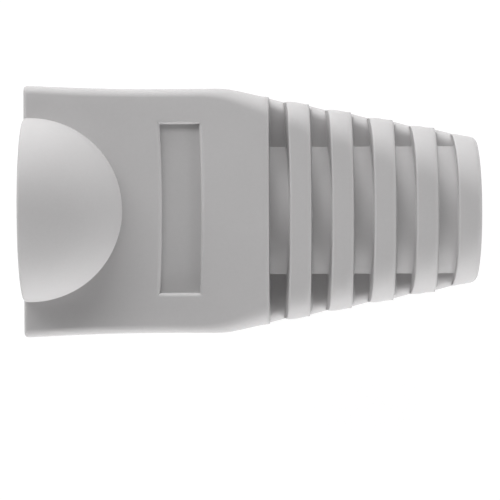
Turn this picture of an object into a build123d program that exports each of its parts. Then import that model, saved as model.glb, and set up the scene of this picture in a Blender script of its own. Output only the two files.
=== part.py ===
# Strain relief boot for an eight-way modular network plug.
#
# One moulding in soft grey plastic. A hollow body slips over the back of the plug, a
# rounded hood at the mouth keeps the plug's latch from snagging, and a ribbed tail lets
# the cable bend gently where it leaves. Between the ribs the cable runs inside a round
# sleeve, and a flat web on each side ties the ribs together at the parting plane.
#
# Frame: +X runs from the mouth to the tail, +Z is up, and the boot lies on its flat
# underside. The origin is at the middle of the box that holds the boot, on that underside.
# A station is a distance from the mouth towards the tail. All sizes are in millimetres.
import os
from math import cos, radians, tan

from build123d import *

# The plug and the cable that the boot is made for.
PLUG_WIDTH = 11.7
PLUG_HEIGHT = 6.7
PLUG_CLEARANCE = 0.1
CABLE_DIAMETER = 6.0
CABLE_CLEARANCE = 0.1

# Body: a rounded box whose sides draw in to a waist and break at the shoulder, a short
# way before the first slot.
SIDE_WALL = 1.05
FLOOR_WALL = 1.0
SOCKET_DEPTH = 10.2
WAIST_STATION = 8.0
WAIST_INSET = 0.225
SHOULDER_LENGTH = 2.36
SHOULDER_INSET = 0.18
SHOULDER_ROUNDING = 6.0
SIDE_DRAFT = 0.7
BODY_CORNER = 0.75
MOUTH_LAND = 0.5
MOUTH_ROUNDING = 0.2
SOCKET_CORNER = 0.4

# Throat between the plug's socket and the cable's bore.
THROAT_STATION = 12.8
THROAT_WIDTH = 9.4
THROAT_HEIGHT = 6.4
THROAT_CORNER = 2.4

# Hood over the latch: a quarter of an ellipsoid behind, run straight on to the mouth.
HOOD_RADIUS = 5.05
HOOD_HEIGHT = 4.3
HOOD_STATION = 0.35
HOOD_LEAN = 0.3
HOOD_WALL = 0.75
HOOD_EASING = 0.13

# Shallow field for a label, across the top of the body. Its long sides bow a little.
FIELD_STATION = 8.65
FIELD_WIDTH = 2.22
FIELD_LENGTH = 9.3
FIELD_DEPTH = 0.28
FIELD_BOW = 0.12
FIELD_DRAFT = 12.0

# Ribbed tail: slots open above and below, cut into an outline that narrows and
# goes from a rounded oblong at the body to nearly round at the end collar.
SLOT_COUNT = 5
SLOT_STATION = 13.46
SLOT_WIDTH = 1.19
SLOT_DRAFT = 1.1
RIB_PITCH = 2.335
COLLAR_LENGTH = 1.26
TAIL_ROOT_WIDTH = 12.58
TAIL_ROOT_CORNER = 0.95
TAIL_END_WIDTH = 8.1
TAIL_END_HEIGHT = 8.3
TAIL_END_CORNER = 3.7
RIB_EASING = 0.14
BODY_END_ROUNDING = 0.16
COLLAR_ROUNDING = 0.35
SLEEVE_WALL = 0.55
WEB_THICKNESS = 1.8
WEB_INSET = 0.06

# Sizes that follow from the ones above.
SOCKET_WIDTH = PLUG_WIDTH + 2 * PLUG_CLEARANCE
SOCKET_HEIGHT = PLUG_HEIGHT + 2 * PLUG_CLEARANCE
BODY_WIDTH = SOCKET_WIDTH + 2 * SIDE_WALL
BODY_HEIGHT = SOCKET_HEIGHT + 2 * FLOOR_WALL
AXIS_HEIGHT = BODY_HEIGHT / 2
BORE_RADIUS = CABLE_DIAMETER / 2 + CABLE_CLEARANCE
SLEEVE_RADIUS = BORE_RADIUS + SLEEVE_WALL
LENGTH = SLOT_STATION + (SLOT_COUNT - 1) * RIB_PITCH + SLOT_WIDTH + COLLAR_LENGTH
MIDDLE = (LENGTH - HOOD_LEAN) / 2
SHOULDER_STATION = SLOT_STATION - SHOULDER_LENGTH
ROOT_STATION = SLOT_STATION + SLOT_WIDTH / 2
SLOT_SLOPE = tan(radians(SLOT_DRAFT))

# How far cutting shapes run past the mouth, and how near round the throat's end is.
OVERRUN = 2.0
NEARLY = 0.01


def at(station):
    """X of a station."""
    return station - MIDDLE


def tail_size(station, root_size, end_size):
    """A size of the tail at a station, on the straight taper from its root to its end."""
    share = (station - SLOT_STATION) / (LENGTH - SLOT_STATION)
    return root_size + share * (end_size - root_size)


def tail_half_width(station):
    """Half the width of the tail at a station."""
    return tail_size(station, TAIL_ROOT_WIDTH, TAIL_END_WIDTH) / 2


def slot_wall(station, slope):
    """Plane of a slot's wall, which leans by the draft. The station is its place at the top."""
    foot = at(station) + slope * AXIS_HEIGHT
    return Plane(origin=(foot, 0, AXIS_HEIGHT), x_dir=(0, 1, 0), z_dir=(1, 0, slope))


def rib_outline(station, slope, inset):
    """Outline of the tail on a slot's wall, drawn in by an inset all round."""
    with BuildSketch(slot_wall(station, slope)) as outline:
        RectangleRounded(
            tail_size(station, TAIL_ROOT_WIDTH, TAIL_END_WIDTH) - 2 * inset,
            tail_size(station, BODY_HEIGHT, TAIL_END_HEIGHT) - 2 * inset,
            tail_size(station, TAIL_ROOT_CORNER, TAIL_END_CORNER) - inset,
        )
    return outline.sketch


def hood_form(radius, height, foot):
    """A vault from in front of the mouth, closed behind by half a dome, on a short foot."""
    axis_x = at(HOOD_STATION)
    with BuildPart() as form:
        with BuildSketch(Plane.YZ.offset(axis_x)):
            with BuildLine():
                EllipticalCenterArc((0, BODY_HEIGHT), radius, height, start_angle=90, arc_size=90)
                Polyline(
                    (-radius, BODY_HEIGHT),
                    (-radius, BODY_HEIGHT - foot),
                    (0, BODY_HEIGHT - foot),
                    (0, BODY_HEIGHT + height),
                )
            make_face()
        revolve(axis=Axis((axis_x, 0, 0), (0, 0, 1)), revolution_arc=180)
        with BuildSketch(Plane.YZ.offset(axis_x)):
            with BuildLine():
                EllipticalCenterArc((0, BODY_HEIGHT), radius, height, start_angle=0, arc_size=180)
                Polyline(
                    (-radius, BODY_HEIGHT),
                    (-radius, BODY_HEIGHT - foot),
                    (radius, BODY_HEIGHT - foot),
                    (radius, BODY_HEIGHT),
                )
            make_face()
        extrude(amount=-HOOD_STATION - OVERRUN)
    return form.part


parting = Plane.XY.offset(AXIS_HEIGHT)
mouth_plane = Plane.YZ.offset(at(0))

# Upper half of the outside, from the parting plane up.
with BuildPart() as half:
    # Body, drawn in plan and drafted towards its flat top.
    with BuildSketch(parting):
        with BuildLine():
            mouth = (at(-OVERRUN), BODY_WIDTH / 2)
            land = (at(MOUTH_LAND), BODY_WIDTH / 2)
            waist = (at(WAIST_STATION), BODY_WIDTH / 2 - WAIST_INSET)
            shoulder = (at(SHOULDER_STATION), BODY_WIDTH / 2 - SHOULDER_INSET)
            root = (at(ROOT_STATION), tail_half_width(ROOT_STATION))
            Polyline((root[0], 0), root, shoulder)
            ThreePointArc(shoulder, waist, land)
            Polyline(land, mouth, (mouth[0], 0))
            mirror(about=Plane.XZ)
        make_face()
        bends = vertices().group_by(Axis.X)
        fillet(bends[1] + bends[-2], SHOULDER_ROUNDING)
    extrude(amount=AXIS_HEIGHT, taper=SIDE_DRAFT)
    top = faces().sort_by(Axis.Z)[-1]
    fillet(top.edges().filter_by(Axis.Y, reverse=True), BODY_CORNER)
    split(bisect_by=mouth_plane, keep=Keep.TOP)
    fillet(faces().sort_by(Axis.X)[0].edges().sort_by(Axis.Z)[1:], MOUTH_ROUNDING)
    split(bisect_by=slot_wall(SLOT_STATION, SLOT_SLOPE), keep=Keep.BOTTOM)
    fillet(faces().sort_by(Axis.X)[-1].edges().sort_by(Axis.Z)[1:], BODY_END_ROUNDING)

    # Ribs between the slots, each with its rims eased.
    for number in range(SLOT_COUNT - 1):
        front = SLOT_STATION + number * RIB_PITCH + SLOT_WIDTH
        rear = front + RIB_PITCH - SLOT_WIDTH
        loft(
            [
                rib_outline(front, -SLOT_SLOPE, RIB_EASING),
                rib_outline(front + RIB_EASING, -SLOT_SLOPE, 0),
                rib_outline(rear - RIB_EASING, SLOT_SLOPE, 0),
                rib_outline(rear, SLOT_SLOPE, RIB_EASING),
            ],
            ruled=True,
        )

    # End collar, eased towards the last slot and rounded off in two steps at its end.
    front = LENGTH - COLLAR_LENGTH
    shoulder_inset = COLLAR_ROUNDING * (1 - cos(radians(45)))
    loft(
        [
            rib_outline(front, -SLOT_SLOPE, RIB_EASING),
            rib_outline(front + RIB_EASING, -SLOT_SLOPE, 0),
            rib_outline(LENGTH - COLLAR_ROUNDING, 0, 0),
            rib_outline(LENGTH - shoulder_inset, 0, shoulder_inset),
            rib_outline(LENGTH, 0, COLLAR_ROUNDING),
        ],
        ruled=True,
    )
    split(bisect_by=parting, keep=Keep.TOP)

# Hood over the latch, cut on a slope so that its crown leans out over the mouth.
lean = Plane(
    origin=(at(0), 0, BODY_HEIGHT),
    x_dir=(0, 1, 0),
    z_dir=(HOOD_HEIGHT, 0, HOOD_LEAN),
)
with BuildPart() as hood:
    add(hood_form(HOOD_RADIUS, HOOD_HEIGHT, FLOOR_WALL / 2))
    split(bisect_by=lean, keep=Keep.TOP)
    arch = faces().sort_by(Axis.X)[0].edges().filter_by(GeomType.LINE, reverse=True)
    chamfer(arch, HOOD_EASING)

with BuildPart() as boot:
    # Outside, from the two halves.
    add(half.part)
    mirror(about=parting)

    # Sleeve between the ribs.
    with BuildSketch(Plane.YZ.offset(at(SOCKET_DEPTH))):
        with Locations((0, AXIS_HEIGHT)):
            Circle(SLEEVE_RADIUS)
    extrude(amount=LENGTH - SOCKET_DEPTH - COLLAR_ROUNDING)

    # Webs that tie the ribs together, one on each side of the sleeve.
    with BuildSketch(parting):
        with BuildLine():
            web_start = SLOT_STATION - BODY_END_ROUNDING
            web_end = LENGTH - COLLAR_LENGTH / 2
            Polyline(
                (at(web_start), -tail_half_width(web_start) + WEB_INSET),
                (at(web_end), -tail_half_width(web_end) + WEB_INSET),
                (at(web_end), tail_half_width(web_end) - WEB_INSET),
                (at(web_start), tail_half_width(web_start) - WEB_INSET),
                close=True,
            )
        make_face()
    extrude(amount=WEB_THICKNESS / 2, both=True)

    # Hood over the latch.
    add(hood.part)

    # Socket for the plug.
    with BuildSketch(mouth_plane):
        with Locations((0, AXIS_HEIGHT)):
            RectangleRounded(SOCKET_WIDTH, SOCKET_HEIGHT, SOCKET_CORNER)
    extrude(amount=SOCKET_DEPTH, mode=Mode.SUBTRACT)

    # Throat, which gathers the cable into its bore.
    with BuildSketch(Plane.YZ.offset(at(SOCKET_DEPTH))):
        with Locations((0, AXIS_HEIGHT)):
            RectangleRounded(THROAT_WIDTH, THROAT_HEIGHT, THROAT_CORNER)
    with BuildSketch(Plane.YZ.offset(at(THROAT_STATION))):
        with Locations((0, AXIS_HEIGHT)):
            RectangleRounded(2 * BORE_RADIUS, 2 * BORE_RADIUS, BORE_RADIUS - NEARLY)
    loft(ruled=True, mode=Mode.SUBTRACT)

    # Bore for the cable.
    with BuildSketch(Plane.YZ.offset(at(THROAT_STATION))):
        with Locations((0, AXIS_HEIGHT)):
            Circle(BORE_RADIUS)
    extrude(amount=LENGTH - THROAT_STATION, mode=Mode.SUBTRACT)

    # Pocket inside the hood, open to the mouth and down into the socket.
    add(
        hood_form(HOOD_RADIUS - HOOD_WALL, HOOD_HEIGHT - HOOD_WALL, BODY_HEIGHT - AXIS_HEIGHT),
        mode=Mode.SUBTRACT,
    )

    # Shallow label field in the top face.
    with BuildSketch(Plane.XY.offset(BODY_HEIGHT)):
        with BuildLine():
            near = at(FIELD_STATION) - FIELD_WIDTH / 2
            far = at(FIELD_STATION) + FIELD_WIDTH / 2
            end = FIELD_LENGTH / 2
            ThreePointArc((near, end), (near + FIELD_BOW, 0), (near, -end))
            Line((near, -end), (far, -end))
            ThreePointArc((far, -end), (far + FIELD_BOW, 0), (far, end))
            Line((far, end), (near, end))
        make_face()
    extrude(amount=-FIELD_DEPTH, taper=FIELD_DRAFT, mode=Mode.SUBTRACT)

boot.part.label = "boot"
os.makedirs("parts", exist_ok=True)
export_step(boot.part, "parts/boot.step")
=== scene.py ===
import math

import bmesh
import bpy
from mathutils import Matrix, Vector


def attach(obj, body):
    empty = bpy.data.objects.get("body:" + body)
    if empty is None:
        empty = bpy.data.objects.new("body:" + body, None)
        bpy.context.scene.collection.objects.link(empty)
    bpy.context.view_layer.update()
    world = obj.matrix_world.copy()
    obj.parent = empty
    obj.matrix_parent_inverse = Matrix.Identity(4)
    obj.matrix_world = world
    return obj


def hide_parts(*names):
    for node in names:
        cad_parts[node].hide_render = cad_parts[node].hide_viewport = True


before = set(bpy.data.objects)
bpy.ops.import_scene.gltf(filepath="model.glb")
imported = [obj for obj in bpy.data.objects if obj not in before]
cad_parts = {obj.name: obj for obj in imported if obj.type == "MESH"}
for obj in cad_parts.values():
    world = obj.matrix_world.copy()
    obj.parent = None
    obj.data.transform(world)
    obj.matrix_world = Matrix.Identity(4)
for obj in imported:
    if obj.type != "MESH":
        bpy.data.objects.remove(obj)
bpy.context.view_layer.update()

# Body and ribbed tail, inside and out.
# One wall of soft grey PVC, moulded round a core: a rounded box for the plug, then a
# tail of ribs on a round sleeve, with a flat web on each side that ties the ribs. It is
# modelled in millimetres round its parting plane, and set on the table at the end.
MM = 0.001
MOUTH_X = -12.475
AXIS_Z = 4.45
BODY_HALF_WIDTH = 6.96
BODY_TAPER = math.tan(math.radians(0.7))
BODY_CORNERS = ((0.0, 0.46), (10.0, 0.5), (11.6, 0.8), (13.46, 1.15))
EDGE_SINK = 0.01
EDGE_REACH = 1.2
MOUTH_ROUNDING = 0.2
MOUTH_LAND = 0.5
WAIST = (8.0, 0.2)
SHOULDER = (11.1, 0.155)
SHOULDER_SOFTNESS = 0.097
BODY_RINGS = 24
SLOT_COUNT = 5
SLOT_STATION = 13.46
SLOT_WIDTH = 1.19
SLOT_SLOPE = math.tan(math.radians(2.0))
RIB_PITCH = 2.335
RIB_LENGTH = RIB_PITCH - SLOT_WIDTH
TAIL_LENGTH = 25.25
TAIL_ROOT = (6.25, 4.45, 1.4)
TAIL_END = (4.0, 4.15, 3.7)
BODY_RIM = (0.28, 0.14)
BODY_RIM_GAP = 0.28
FRONT_RIM = (0.12, 0.06)
FRONT_RIM_GAP = 0.06
REAR_RIM = (0.3, 0.1)
RIM_OF_DEPTH = 0.6
RIB_FALL = 2.0
FRONT_BOW = 0.14
REAR_BOW = 0.09
RIB_RINGS = 6
SLOT_FLOOR_ROUNDING = 0.12
FLOOR_ROUNDING_OF_DEPTH = 0.3
COLLAR_ROUNDING = 0.35
SLEEVE_RADIUS = 3.65
WEB_HALF_THICKNESS = 0.9
WEB_EDGE = 0.65
WEB_INSET = 0.02
WEB_TOP_RIM = 1.5
BORE_RADIUS = 3.1
BORE_ROUNDING = 0.08
SOCKET = (5.95, 3.45, 0.4)
SOCKET_DEPTH = 10.2
SOCKET_ROUNDING = 0.1
THROAT = (4.7, 3.2, 2.4)
THROAT_STATION = 12.8
PARTING_RIDGE = 0.02
LEAST_CORNER = 0.02
ROUNDING_STEPS = 4

# Runs of points on a quarter of a ring: the web's side, its rounded edge and flat, then
# the rest of the side, the corner and the top. The corner's run keeps clear of its two
# neighbours by these distances.
RUNS = (2, 11, 4, 16, 12)
WEB_EDGE_STEPS = 7
LEAST_SIDE_RUN = 0.25
LEAST_TOP_RUN = 0.4
ARC = [math.radians(90 * step / ROUNDING_STEPS) for step in range(ROUNDING_STEPS + 1)]


def between(low, high, share):
    return low + (high - low) * share


def oblong_point(half_width, half_height, corner, run):
    """A point on a quarter of a rounded oblong, by its distance from the middle of the side."""
    side = half_height - corner
    bend = corner * math.pi / 2
    if run <= side:
        return half_width, run
    if run <= side + bend:
        angle = (run - side) / corner
        return (
            half_width - corner + corner * math.cos(angle),
            side + corner * math.sin(angle),
        )
    return half_width - corner - (run - side - bend), half_height


def run_to_height(half_height, corner, height):
    """Distance along that quarter at which it reaches a height."""
    side = half_height - corner
    if height <= side:
        return height
    return side + corner * math.asin(min(1, (height - side) / corner))


def quarter_runs(half_width, half_height, corner):
    """Distances of a quarter's points along it, in the five runs."""
    side = half_height - corner
    bend_end = side + corner * math.pi / 2
    end = bend_end + half_width - corner
    web = run_to_height(half_height, corner, WEB_HALF_THICKNESS - WEB_EDGE)
    rim = run_to_height(half_height, corner, WEB_TOP_RIM)
    turn_in = max(side, rim + LEAST_SIDE_RUN)
    turn_out = min(bend_end, end - LEAST_TOP_RUN)
    knots = (0, web, rim, turn_in, turn_out, end)
    places = [
        between(knots[part], knots[part + 1], step / RUNS[part])
        for part in range(5)
        for step in range(RUNS[part])
    ]
    return places + [end]


def all_round(quarter, ridge=0.0):
    """The whole ring from a quarter of it, with the parting line's ridge on its two sides."""
    quarter = [(quarter[0][0] + ridge, 0)] + quarter[1:]
    upper = quarter + [(-y, z) for y, z in quarter[-2::-1]]
    return upper + [(y, -z) for y, z in upper[-2:0:-1]]


def oblong(half_width, half_height, corner, inset=0.0, taper=0.0, ridge=PARTING_RIDGE):
    """Ring points on a rounded oblong that is drawn in by an inset, with leaning sides."""
    sizes = (half_width - inset, half_height - inset, max(corner - inset, LEAST_CORNER))
    quarter = [oblong_point(*sizes, run) for run in quarter_runs(*sizes)]
    points = []
    for y, z in quarter:
        near = max(0, 1 - (sizes[0] - y) / EDGE_REACH)
        points.append((y - taper * z * (y / sizes[0]), z * (1 - EDGE_SINK * near**2)))
    return all_round(points, ridge)


def circle(radius, like):
    """Ring points on a circle, each in line with its point of another ring."""
    ring = []
    for y, z in like:
        reach = math.hypot(y, z)
        ring.append((radius * y / reach, radius * z / reach))
    return ring


def slot_floor(station, grow):
    """Ring points on the floor of a slot: round the sleeve and out over the two webs."""
    radius = SLEEVE_RADIUS + grow
    flat = WEB_HALF_THICKNESS + grow
    sizes = tail_sizes(station)
    rim = sizes[0] - WEB_INSET + grow
    outer = [oblong_point(*sizes, run) for run in quarter_runs(*sizes)]
    start = math.asin(flat / radius)
    first = RUNS[0] + RUNS[1]
    low = math.atan2(outer[first][1], outer[first][0])
    quarter = [(rim, (flat - WEB_EDGE) * step / RUNS[0]) for step in range(RUNS[0])]
    for step in range(WEB_EDGE_STEPS):
        angle = math.pi / 2 * step / WEB_EDGE_STEPS
        y = rim - WEB_EDGE * (1 - math.cos(angle))
        quarter.append((y, flat - WEB_EDGE * (1 - math.sin(angle))))
    root = radius * math.cos(start)
    flats = RUNS[1] - WEB_EDGE_STEPS
    quarter += [(between(rim - WEB_EDGE, root, step / flats), flat) for step in range(flats)]
    for y, z in outer[first:]:
        share = (math.atan2(z, y) - low) / (math.pi / 2 - low)
        angle = between(start, math.pi / 2, share)
        quarter.append((radius * math.cos(angle), radius * math.sin(angle)))
    return all_round(quarter, PARTING_RIDGE)


def tail_sizes(station):
    """Half width, half height and corner of the tail's outline at a station."""
    share = (station - SLOT_STATION) / (TAIL_LENGTH - SLOT_STATION)
    return tuple(between(root, end, share) for root, end in zip(TAIL_ROOT, TAIL_END))


def rib_sizes(number, share):
    """Sizes of a rib's outline at a share of its length: level in front, falling behind."""
    front = SLOT_STATION + number * RIB_PITCH + SLOT_WIDTH
    return tail_sizes(front + RIB_LENGTH * share**RIB_FALL)


def body_half_width(station):
    """Half the width of the body at the parting plane, with its waist and soft shoulder."""
    (x1, y1), (x2, y2) = WAIST, SHOULDER
    run = max(station - MOUTH_LAND, 0)
    a, b = x1 - MOUTH_LAND, x2 - MOUTH_LAND
    bow = (y1 / a - y2 / b) / (a - b)
    side = BODY_HALF_WIDTH - run * (y1 / a + bow * (run - a))
    root = SLOT_STATION + SLOT_WIDTH / 2
    slope = (tail_sizes(root)[0] - BODY_HALF_WIDTH + y2) / (root - x2)
    back = BODY_HALF_WIDTH - y2 + slope * (station - x2)
    return (side + back - math.hypot(side - back, SHOULDER_SOFTNESS)) / 2


def body_corner(station):
    """Radius of the body's long edges, which widens towards the tail."""
    for (x1, r1), (x2, r2) in zip(BODY_CORNERS, BODY_CORNERS[1:]):
        if station <= x2:
            return between(r1, r2, (station - x1) / (x2 - x1))
    return BODY_CORNERS[-1][1]


def body_ring(station, inset=0.0):
    """The body's outline at a station, drawn in by an inset."""
    return oblong(body_half_width(station), AXIS_Z, body_corner(station), inset, BODY_TAPER)


def placed(station, ring, bow=0.0):
    """A ring at its station, with its outer ends drawn towards the mouth by a bow."""
    half = max(y for y, z in ring)
    return [(MOUTH_X + station - bow * (y / half) ** 2, y, z) for y, z in ring]


def body_end(back, inset):
    """The body's outline at a distance back from the first slot."""
    return body_ring(SLOT_STATION - back, inset)


def rib_end(number, rear):
    """A rib's outline, by the distance back from its front or rear wall and an inset."""

    def outline(back, inset):
        share = back / RIB_LENGTH
        return oblong(*rib_sizes(number, 1 - share if rear else share), inset)

    return outline


def slot_wall(station, outline, facing, rim_size, bow):
    """Rings from an outline's rounded rim down a slot's wall to the floor.

    A wall that faces the tail has facing 1, and one that faces the mouth has -1. The
    outline is a function of the distance back from the wall and of an inset. The rim's
    size is its run along the part and its drop. The bow draws the rim's outer ends
    towards the mouth.
    """
    run, drop = rim_size
    rings = []
    top = outline(0, 0)
    half = max(y for y, z in top)
    floor = slot_floor(station, 0)
    depths = [math.dist(rim, foot) for rim, foot in zip(top, floor)]
    for angle in ARC:
        back = run * (1 - math.sin(angle))
        bare = outline(back, 0)
        inset = outline(back, drop * (1 - math.cos(angle)))
        ring = []
        for rim, drawn, depth in zip(bare, inset, depths):
            share = min(1, RIM_OF_DEPTH * depth / drop)
            y = between(rim[0], drawn[0], share)
            z = between(rim[1], drawn[1], share)
            lean = SLOT_SLOPE * (AXIS_Z - abs(z))
            bowed = station - bow * (y / half) ** 2
            ring.append((MOUTH_X + bowed + facing * (lean - share * back), y, z))
        rings.append(ring)
    for angle in ARC:
        grown = slot_floor(station, SLOT_FLOOR_ROUNDING * (1 - math.sin(angle)))
        ring = []
        for foot, raised, depth in zip(floor, grown, depths):
            share = min(1, FLOOR_ROUNDING_OF_DEPTH * depth / SLOT_FLOOR_ROUNDING)
            y = between(foot[0], raised[0], share)
            z = between(foot[1], raised[1], share)
            out = SLOT_FLOOR_ROUNDING * share * (1 - math.cos(angle))
            lean = SLOT_SLOPE * (AXIS_Z - abs(z))
            ring.append((MOUTH_X + station + facing * (lean + out), y, z))
        rings.append(ring)
    return rings if facing > 0 else rings[::-1]


def shell_rings():
    """The wall's rings, along the outside to the tail and back along the inside."""
    rings = []
    for angle in ARC:
        station = MOUTH_ROUNDING * (1 - math.cos(angle))
        inset = MOUTH_ROUNDING * (1 - math.sin(angle))
        rings.append(placed(station, body_ring(station, inset)))
    body_stop = SLOT_STATION - BODY_RIM[0] - BODY_RIM_GAP
    for number in range(BODY_RINGS + 1):
        station = between(MOUTH_LAND, body_stop, number / BODY_RINGS)
        rings.append(placed(station, body_ring(station)))
    rings += slot_wall(SLOT_STATION, body_end, 1, BODY_RIM, 0)
    for number in range(SLOT_COUNT):
        front = SLOT_STATION + number * RIB_PITCH + SLOT_WIDTH
        rings += slot_wall(front, rib_end(number, rear=False), -1, FRONT_RIM, FRONT_BOW)
        if number == SLOT_COUNT - 1:
            break
        for step in range(1, RIB_RINGS):
            share = step / RIB_RINGS * (1 - REAR_RIM[0] / RIB_LENGTH)
            if share * RIB_LENGTH > FRONT_RIM[0] + FRONT_RIM_GAP:
                bow = between(FRONT_BOW, REAR_BOW, share)
                ring = oblong(*rib_sizes(number, share))
                rings.append(placed(front + share * RIB_LENGTH, ring, bow))
        rear = front + RIB_LENGTH
        rings += slot_wall(rear, rib_end(number, rear=True), 1, REAR_RIM, REAR_BOW)
    for angle in ARC:
        station = TAIL_LENGTH - COLLAR_ROUNDING * (1 - math.sin(angle))
        inset = COLLAR_ROUNDING * (1 - math.cos(angle))
        rings.append(placed(station, oblong(*tail_sizes(station), inset), REAR_BOW))
    collar = oblong(*tail_sizes(TAIL_LENGTH))
    for angle in ARC:
        radius = BORE_RADIUS + BORE_ROUNDING * (1 - math.sin(angle))
        station = TAIL_LENGTH - BORE_ROUNDING * (1 - math.cos(angle))
        rings.append(placed(station, circle(radius, collar)))
    rings.append(placed(THROAT_STATION, circle(BORE_RADIUS, collar)))
    rings.append(placed(SOCKET_DEPTH, oblong(*THROAT, ridge=0)))
    rings.append(placed(SOCKET_DEPTH, oblong(*SOCKET, ridge=0)))
    for angle in ARC:
        station = SOCKET_ROUNDING * (1 - math.sin(angle))
        grown = -SOCKET_ROUNDING * (1 - math.cos(angle))
        rings.append(placed(station, oblong(*SOCKET, grown, ridge=0)))
    return rings


def ringed(name, rings, closed):
    """A mesh in millimetres, extruded from ring to ring. Its ends meet, or are capped."""
    work = bmesh.new()
    turn = work.verts.layers.int.new("turn")
    start = bmesh.ops.create_circle(work, cap_ends=False, segments=len(rings[0]), radius=1)
    for number, vert in enumerate(start["verts"]):
        vert[turn] = number
        vert.co = rings[0][number]
    first = loop = work.edges[:]
    for ring in rings[1:]:
        geom = bmesh.ops.extrude_edge_only(work, edges=loop)["geom"]
        fresh = {part for part in geom if isinstance(part, bmesh.types.BMVert)}
        for vert in fresh:
            vert.co = ring[vert[turn]]
        edges = [part for part in geom if isinstance(part, bmesh.types.BMEdge)]
        loop = [edge for edge in edges if fresh.issuperset(edge.verts)]
    if closed:
        bmesh.ops.bridge_loops(work, edges=first + loop)
    else:
        bmesh.ops.contextual_create(work, geom=first)
        bmesh.ops.contextual_create(work, geom=loop)
    bmesh.ops.recalc_face_normals(work, faces=work.faces)
    mesh = bpy.data.meshes.new(name)
    work.to_mesh(mesh)
    work.free()
    made = bpy.data.objects.new(name, mesh)
    bpy.context.collection.objects.link(made)
    return made


boot = ringed("boot_moulding", shell_rings(), closed=True)

# Hood over the plug's latch.
# A thin vault of the same plastic, moulded on the top face over a pocket that is open to
# the mouth. It is closed behind by half a dome and leans a little out over the mouth.
TOP_Z = AXIS_Z
HOOD_STATION = 0.35
HOOD_RADIUS = 5.05
HOOD_HEIGHT = 4.3
HOOD_LEAN = 0.3
HOOD_SIDE = 0.08
HOOD_WALL = 0.75
HOOD_ROUNDING = 0.18
HOOD_FOOT = 0.5
HOOD_POINTS = 72
HOOD_RINGS = 30
DOME_TIP_ANGLE = 88.5
DOME_CROWDING = 0.9
POCKET_FOOT = AXIS_Z
POCKET_ROUNDING = 0.12
POCKET_OVERRUN = 2


def arch(radius, height, foot, shrink=0.0, grow=0.0):
    """Half an ellipse on a straight foot, as (y, z) from the top face, closed below."""
    wide = radius * (1 - shrink) + grow
    high = height * (1 - shrink) + grow
    ring = [(HOOD_SIDE + wide, -foot)]
    for step in range(HOOD_POINTS + 1):
        angle = math.pi * step / HOOD_POINTS
        ring.append((HOOD_SIDE + wide * math.cos(angle), high * math.sin(angle)))
    ring.append((HOOD_SIDE - wide, -foot))
    return ring


def lean_x(height):
    """Where the hood's front is at a height from the top face."""
    return MOUTH_X - HOOD_LEAN * height / HOOD_HEIGHT


def dome_rings(radius, height, foot):
    """Rings of the half dome, from its tip on the top face to the start of the vault."""
    rings = []
    for number in range(HOOD_RINGS):
        share = (number / (HOOD_RINGS - 1)) ** DOME_CROWDING
        angle = math.radians(between(DOME_TIP_ANGLE, 0, share))
        x = MOUTH_X + HOOD_STATION + radius * math.sin(angle)
        ring = arch(radius, height, foot, shrink=1 - math.cos(angle))
        rings.append([(x, y, TOP_Z + z) for y, z in ring])
    return rings


def hood_rings():
    """The hood's outside, from the dome's tip to its rounded front edge."""
    rings = dome_rings(HOOD_RADIUS, HOOD_HEIGHT, HOOD_FOOT)
    for angle in ARC:
        drop = HOOD_ROUNDING * (1 - math.cos(angle))
        ring = arch(HOOD_RADIUS, HOOD_HEIGHT, HOOD_FOOT, grow=-drop)
        back = HOOD_ROUNDING * (1 - math.sin(angle))
        rings.append([(lean_x(z) + back, y, TOP_Z + z) for y, z in ring])
    return rings


def pocket_rings():
    """The hollow under the hood, down to the socket and out past the mouth."""
    radius, height = HOOD_RADIUS - HOOD_WALL, HOOD_HEIGHT - HOOD_WALL
    rings = dome_rings(radius, height, POCKET_FOOT)
    for angle in ARC:
        ring = arch(radius, height, POCKET_FOOT, grow=POCKET_ROUNDING * (1 - math.cos(angle)))
        back = POCKET_ROUNDING * (1 - math.sin(angle))
        rings.append([(lean_x(max(z, 0)) + back, y, TOP_Z + z) for y, z in ring])
    wide = arch(radius, height, POCKET_FOOT, grow=POCKET_ROUNDING)
    rings.append([(MOUTH_X - POCKET_OVERRUN, y, TOP_Z + z) for y, z in wide])
    return rings


def combine(base, tool, operation):
    """Adds or cuts one mesh with another, which is then gone."""
    change = base.modifiers.new(operation, "BOOLEAN")
    change.operation = operation
    change.object = tool
    change.solver = "EXACT"
    bpy.context.view_layer.update()
    shape = base.evaluated_get(bpy.context.evaluated_depsgraph_get())
    mesh = bpy.data.meshes.new_from_object(shape)
    base.modifiers.clear()
    old = base.data
    base.data = mesh
    bpy.data.meshes.remove(old)
    mesh.name = base.name
    bpy.data.objects.remove(tool)


combine(boot, ringed("hood", hood_rings(), closed=False), "UNION")
combine(boot, ringed("pocket", pocket_rings(), closed=False), "DIFFERENCE")

# Label field.
# A shallow, slightly bowed sinking across the top face, where a marker can be stuck. It is
# moulded in, with drafted walls under a rounded brim.
FIELD_CENTRE = (8.56, 0.13)
FIELD_HALF = (1.1, 4.66)
FIELD_DEPTH = 0.32
FIELD_BOW = 0.11
FIELD_BRIM = 0.2
FIELD_BRIM_FLARE = 1.02
FIELD_OVERRUN = 0.1
FIELD_DRAFT = math.tan(math.radians(12))
FIELD_STEPS = 16


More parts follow.
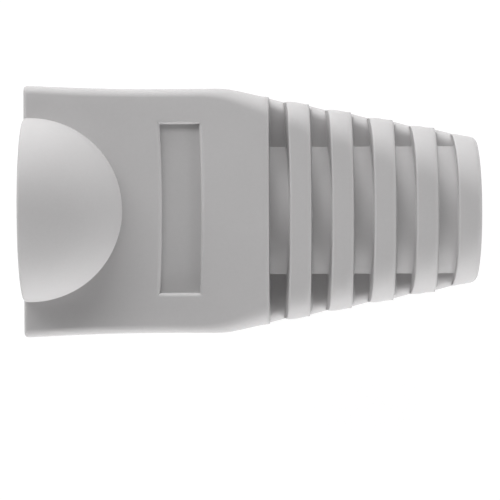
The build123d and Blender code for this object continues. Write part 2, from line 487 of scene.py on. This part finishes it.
def field_ring(grow, z):
    """The field's outline, grown all round, at a height from the top face."""
    half_x, half_y = FIELD_HALF[0] + grow, FIELD_HALF[1] + grow
    middle_x, middle_y = MOUTH_X + FIELD_CENTRE[0], FIELD_CENTRE[1]
    corners = ((-1, 1), (-1, -1), (1, -1), (1, 1))
    ring = []
    for (x1, y1), (x2, y2) in zip(corners, corners[1:] + corners[:1]):
        for step in range(FIELD_STEPS):
            share = step / FIELD_STEPS
            x, y = between(x1, x2, share), between(y1, y2, share)
            bow = FIELD_BOW * (1 - y * y)
            ring.append((middle_x + x * half_x + bow, middle_y + y * half_y, TOP_Z + z))
    return ring


brim = [
    field_ring(FIELD_BRIM * (1 - math.sin(angle)), -FIELD_BRIM * (1 - math.cos(angle)))
    for angle in ARC
]
above = field_ring(FIELD_BRIM * FIELD_BRIM_FLARE, FIELD_OVERRUN)
bottom = field_ring(-FIELD_DRAFT * (FIELD_DEPTH - FIELD_BRIM), -FIELD_DEPTH)
field = ringed("label_field", [above] + brim + [bottom], closed=False)
combine(boot, field, "DIFFERENCE")

# The finished moulding.
# Soft, matte grey PVC out of a spark-eroded mould: a very fine grain, a soft sheen, and a
# faint unevenness of tone where the melt cooled at different speeds. The label field's
# floor is painted a little darker: painted shade in the shallow recess.
PVC_GREY = (0.47, 0.462, 0.464)
PVC_ROUGHNESS = 0.62
PVC_FINISH = {
    "IOR": 1.5,
    "Specular IOR Level": 0.25,
    "Sheen Weight": 0.03,
    "Sheen Roughness": 0.45,
    "Subsurface Weight": 0.08,
    "Subsurface Radius": (0.0006, 0.0005, 0.0005),
    "Subsurface Scale": 1.0,
}
LEAST_TONE = 0.94
CLOUD = {"Scale": 260, "Detail": 3, "Roughness": 0.55}
CLOUD_TONE = 0.07
SPECK = {"Scale": 5200, "Detail": 2, "Roughness": 0.6}
SPECK_TONE = 0.05
SPECK_ROUGHNESS = 0.12
# How much darker the label field's floor is painted: painted shade in the recess.
FIELD_PAINTED_SHADE = 0.07
GRAIN = {"Scale": 9000, "Detail": 2, "Roughness": 0.5}
GRAIN_HEIGHT = 0.00002
GRAIN_STRENGTH = 0.12
MERGE_UNDER = 0.0005
SMOOTH_UP_TO = math.radians(32)


class Value:
    """A value that changes over a surface, worked on as a number."""

    def __init__(self, tree, socket=None):
        self.tree = tree
        self.socket = socket

    def node(self, kind, settings=None, sockets=None, out=0):
        """Adds a node: its settings first, then the values or links of its sockets."""
        made = self.tree.nodes.new(kind)
        for name, setting in (settings or {}).items():
            setattr(made, name, setting)
        for name, given in (sockets or {}).items():
            if isinstance(given, Value):
                self.tree.links.new(given.socket, made.inputs[name])
            else:
                made.inputs[name].default_value = given
        return Value(self.tree, made.outputs[out])

    def output(self, out):
        """Another output of the node that this value comes from."""
        return Value(self.tree, self.socket.node.outputs[out])

    def maths(self, operation, *given):
        return self.node("ShaderNodeMath", {"operation": operation}, dict(enumerate(given)))

    def within(self, middle, half):
        """1 where the value is no further than a half width from a middle, 0 elsewhere."""
        return self.maths("COMPARE", self, middle, half)

    def __add__(self, other):
        return self.maths("ADD", self, other)

    __radd__ = __add__

    def __sub__(self, other):
        return self.maths("SUBTRACT", self, other)

    def __rsub__(self, other):
        return self.maths("SUBTRACT", other, self)

    def __mul__(self, other):
        return self.maths("MULTIPLY", self, other)

    __rmul__ = __mul__


def soft_pvc():
    paint = bpy.data.materials.new("soft_grey_pvc")
    paint.use_nodes = True
    tree = paint.node_tree
    shader = tree.nodes["Principled BSDF"]
    start = Value(tree)
    place = start.node("ShaderNodeTexCoord", out="Object")
    cloud = start.node("ShaderNodeTexNoise", {}, {"Vector": place, **CLOUD})
    speck = start.node("ShaderNodeTexNoise", {}, {"Vector": place, **SPECK})
    grain = start.node("ShaderNodeTexNoise", {}, {"Vector": place, **GRAIN})
    x = start.node("ShaderNodeSeparateXYZ", {}, {"Vector": place})
    y, z = x.output(1), x.output(2)
    # Painted shade: a mask of the label field's recessed floor, whose colour is darkened below.
    painted_shade_in_field = (
        x.within((MOUTH_X + FIELD_CENTRE[0]) * MM, (FIELD_HALF[0] + FIELD_BOW) * MM)
        * y.within(FIELD_CENTRE[1] * MM, FIELD_HALF[1] * MM)
        * z.within((AXIS_Z + TOP_Z - FIELD_DEPTH) * MM, (FIELD_DEPTH - FIELD_BRIM) * MM)
    )
    tone = LEAST_TONE + CLOUD_TONE * cloud + SPECK_TONE * speck - FIELD_PAINTED_SHADE * painted_shade_in_field
    colour = start.node(
        "ShaderNodeVectorMath", {"operation": "SCALE"}, {0: PVC_GREY, "Scale": tone}
    )
    bump = start.node(
        "ShaderNodeBump",
        {},
        {"Strength": GRAIN_STRENGTH, "Distance": GRAIN_HEIGHT, "Height": grain},
    )
    rough = PVC_ROUGHNESS - SPECK_ROUGHNESS / 2 + SPECK_ROUGHNESS * speck
    tree.links.new(colour.socket, shader.inputs["Base Color"])
    tree.links.new(rough.socket, shader.inputs["Roughness"])
    tree.links.new(bump.socket, shader.inputs["Normal"])
    for name, value in PVC_FINISH.items():
        shader.inputs[name].default_value = value
    return paint


def finish_mesh(piece):
    """Cleans the joined mesh, sets it at its real size and place, and shades it."""
    work = bmesh.new()
    work.from_mesh(piece.data)
    bmesh.ops.remove_doubles(work, verts=work.verts, dist=MERGE_UNDER)
    bmesh.ops.dissolve_degenerate(work, dist=MERGE_UNDER, edges=work.edges)
    bmesh.ops.translate(work, vec=(0, 0, AXIS_Z), verts=work.verts)
    bmesh.ops.scale(work, vec=(MM, MM, MM), verts=work.verts)
    work.to_mesh(piece.data)
    work.free()
    piece.data.shade_smooth()
    piece.data.set_sharp_from_angle(angle=SMOOTH_UP_TO)
    even = piece.modifiers.new("even_normals", "WEIGHTED_NORMAL")
    even.mode = "FACE_AREA"
    even.keep_sharp = True


finish_mesh(boot)
boot.data.materials.clear()
boot.data.materials.append(soft_pvc())
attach(boot, "root")
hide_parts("boot")

# Floor.
# A plain white table that the boot lies on. The camera sees it as white, and it still
# takes the boot's soft shadow. It lies a hair below the boot's underside, so that the two
# faces never share a place.
FLOOR_HALF = 1.5
FLOOR_DROP = 0.00002
TABLE_PALENESS = 0.8
TABLE_GLOW = 1.15
TABLE_GLOW_SHARE = 0.8
WHITE = (1, 1, 1, 1)


def white_table():
    paint = bpy.data.materials.new("white_table")
    paint.use_nodes = True
    tree = paint.node_tree
    tree.nodes.clear()
    start = Value(tree)
    seen = start.node("ShaderNodeLightPath", out="Is Camera Ray")
    glossy = start.node("ShaderNodeLightPath", out="Is Glossy Ray")
    through = start.node("ShaderNodeLightPath", out="Is Transmission Ray")
    pale = (TABLE_PALENESS, TABLE_PALENESS, TABLE_PALENESS, 1)
    matte = start.node("ShaderNodeBsdfDiffuse", {}, {"Color": pale})
    glow = start.node("ShaderNodeEmission", {}, {"Color": WHITE, "Strength": TABLE_GLOW})
    share = TABLE_GLOW_SHARE * (seen + glossy + through)
    mixed = start.node("ShaderNodeMixShader", {}, {0: share, 1: matte, 2: glow})
    output = tree.nodes.new("ShaderNodeOutputMaterial")
    tree.links.new(mixed.socket, output.inputs["Surface"])
    return paint


work = bmesh.new()
bmesh.ops.create_grid(work, x_segments=1, y_segments=1, size=FLOOR_HALF)
bmesh.ops.translate(work, vec=(0, 0, -FLOOR_DROP), verts=work.verts)
mesh = bpy.data.meshes.new("table_top")
work.to_mesh(mesh)
work.free()
floor = bpy.data.objects.new("table_top", mesh)
bpy.context.collection.objects.link(floor)
mesh.materials.append(white_table())

# Light.
# Soft boxes all round the boot, most of them low, and strongest beside its long sides, in
# a pale room. Each has a bearing and an elevation in degrees, a width, a height and a power.
ROOM_STRENGTH = 0.22
ROOM_GLOW_SHARE = 0.5
LAMP_REACH = 0.45
LAMPS = (
    ("far_high_box", 108, 32, 0.5, 0.15, 1.52),
    ("far_low_box", 76, 8, 0.45, 0.15, 1.15),
    ("mouth_box", 150, 15, 0.3, 0.15, 0.55),
    ("near_low_box", 258, 8, 0.6, 0.15, 1.65),
    ("near_slot_box", 270, 4, 0.2, 0.06, 0.5),
    ("near_tail_box", 322, 14, 0.3, 0.15, 0.8),
    ("tail_box", 355, 20, 0.3, 0.15, 0.15),
)
for name, bearing, elevation, width, height, power in LAMPS:
    lamp = bpy.data.lights.new(name, "AREA")
    lamp.shape = "RECTANGLE"
    lamp.size = width
    lamp.size_y = height
    lamp.energy = power
    box = bpy.data.objects.new(name, lamp)
    bpy.context.collection.objects.link(box)
    flat = math.cos(math.radians(elevation))
    toward = Vector(
        (
            flat * math.cos(math.radians(bearing)),
            flat * math.sin(math.radians(bearing)),
            math.sin(math.radians(elevation)),
        )
    )
    box.location = LAMP_REACH * toward
    box.rotation_euler = (-toward).to_track_quat("-Z", "Y").to_euler()

world = bpy.data.worlds.new("room")
bpy.context.scene.world = world
world.use_nodes = True
room = world.node_tree
room.nodes.clear()
start = Value(room)
seen = start.node("ShaderNodeLightPath", out="Is Camera Ray")
glossy = start.node("ShaderNodeLightPath", out="Is Glossy Ray")
through = start.node("ShaderNodeLightPath", out="Is Transmission Ray")
dim = start.node("ShaderNodeBackground", {}, {"Color": WHITE, "Strength": ROOM_STRENGTH})
bright = start.node("ShaderNodeBackground", {}, {"Color": WHITE, "Strength": 1.0})
share = seen + ROOM_GLOW_SHARE * (glossy + through)
sky = start.node("ShaderNodeMixShader", {}, {0: share, 1: dim, 2: bright})
output = room.nodes.new("ShaderNodeOutputWorld")
room.links.new(sky.socket, output.inputs["Surface"])

# Camera.
# It looks down on the boot from nearly overhead, a little nearer to the mouth.
EYE = Vector((-5.57, 0.056, 274.45)) * MM
AIM = Vector((0.03, -2.2, 4.45)) * MM
ROLL = math.radians(0.26)
SENSOR_WIDTH = 36
FOCAL_LENGTH = 348.0
SEEN_FROM, SEEN_TO = 0.01, 10
lens = bpy.data.cameras.new("camera")
lens.sensor_width = SENSOR_WIDTH
lens.lens = FOCAL_LENGTH
lens.clip_start = SEEN_FROM
lens.clip_end = SEEN_TO
camera = bpy.data.objects.new("camera", lens)
bpy.context.collection.objects.link(camera)
ahead = (AIM - EYE).normalized()
right = ahead.cross(Vector((0, 1, 0))).normalized()
up = right.cross(ahead)
turn = Matrix((right, up, -ahead)).transposed()
turn = (turn @ Matrix.Rotation(-ROLL, 3, "Z")).to_4x4()
camera.matrix_world = Matrix.Translation(EYE) @ turn
bpy.context.scene.camera = camera
bpy.context.scene.view_settings.view_transform = "Standard"
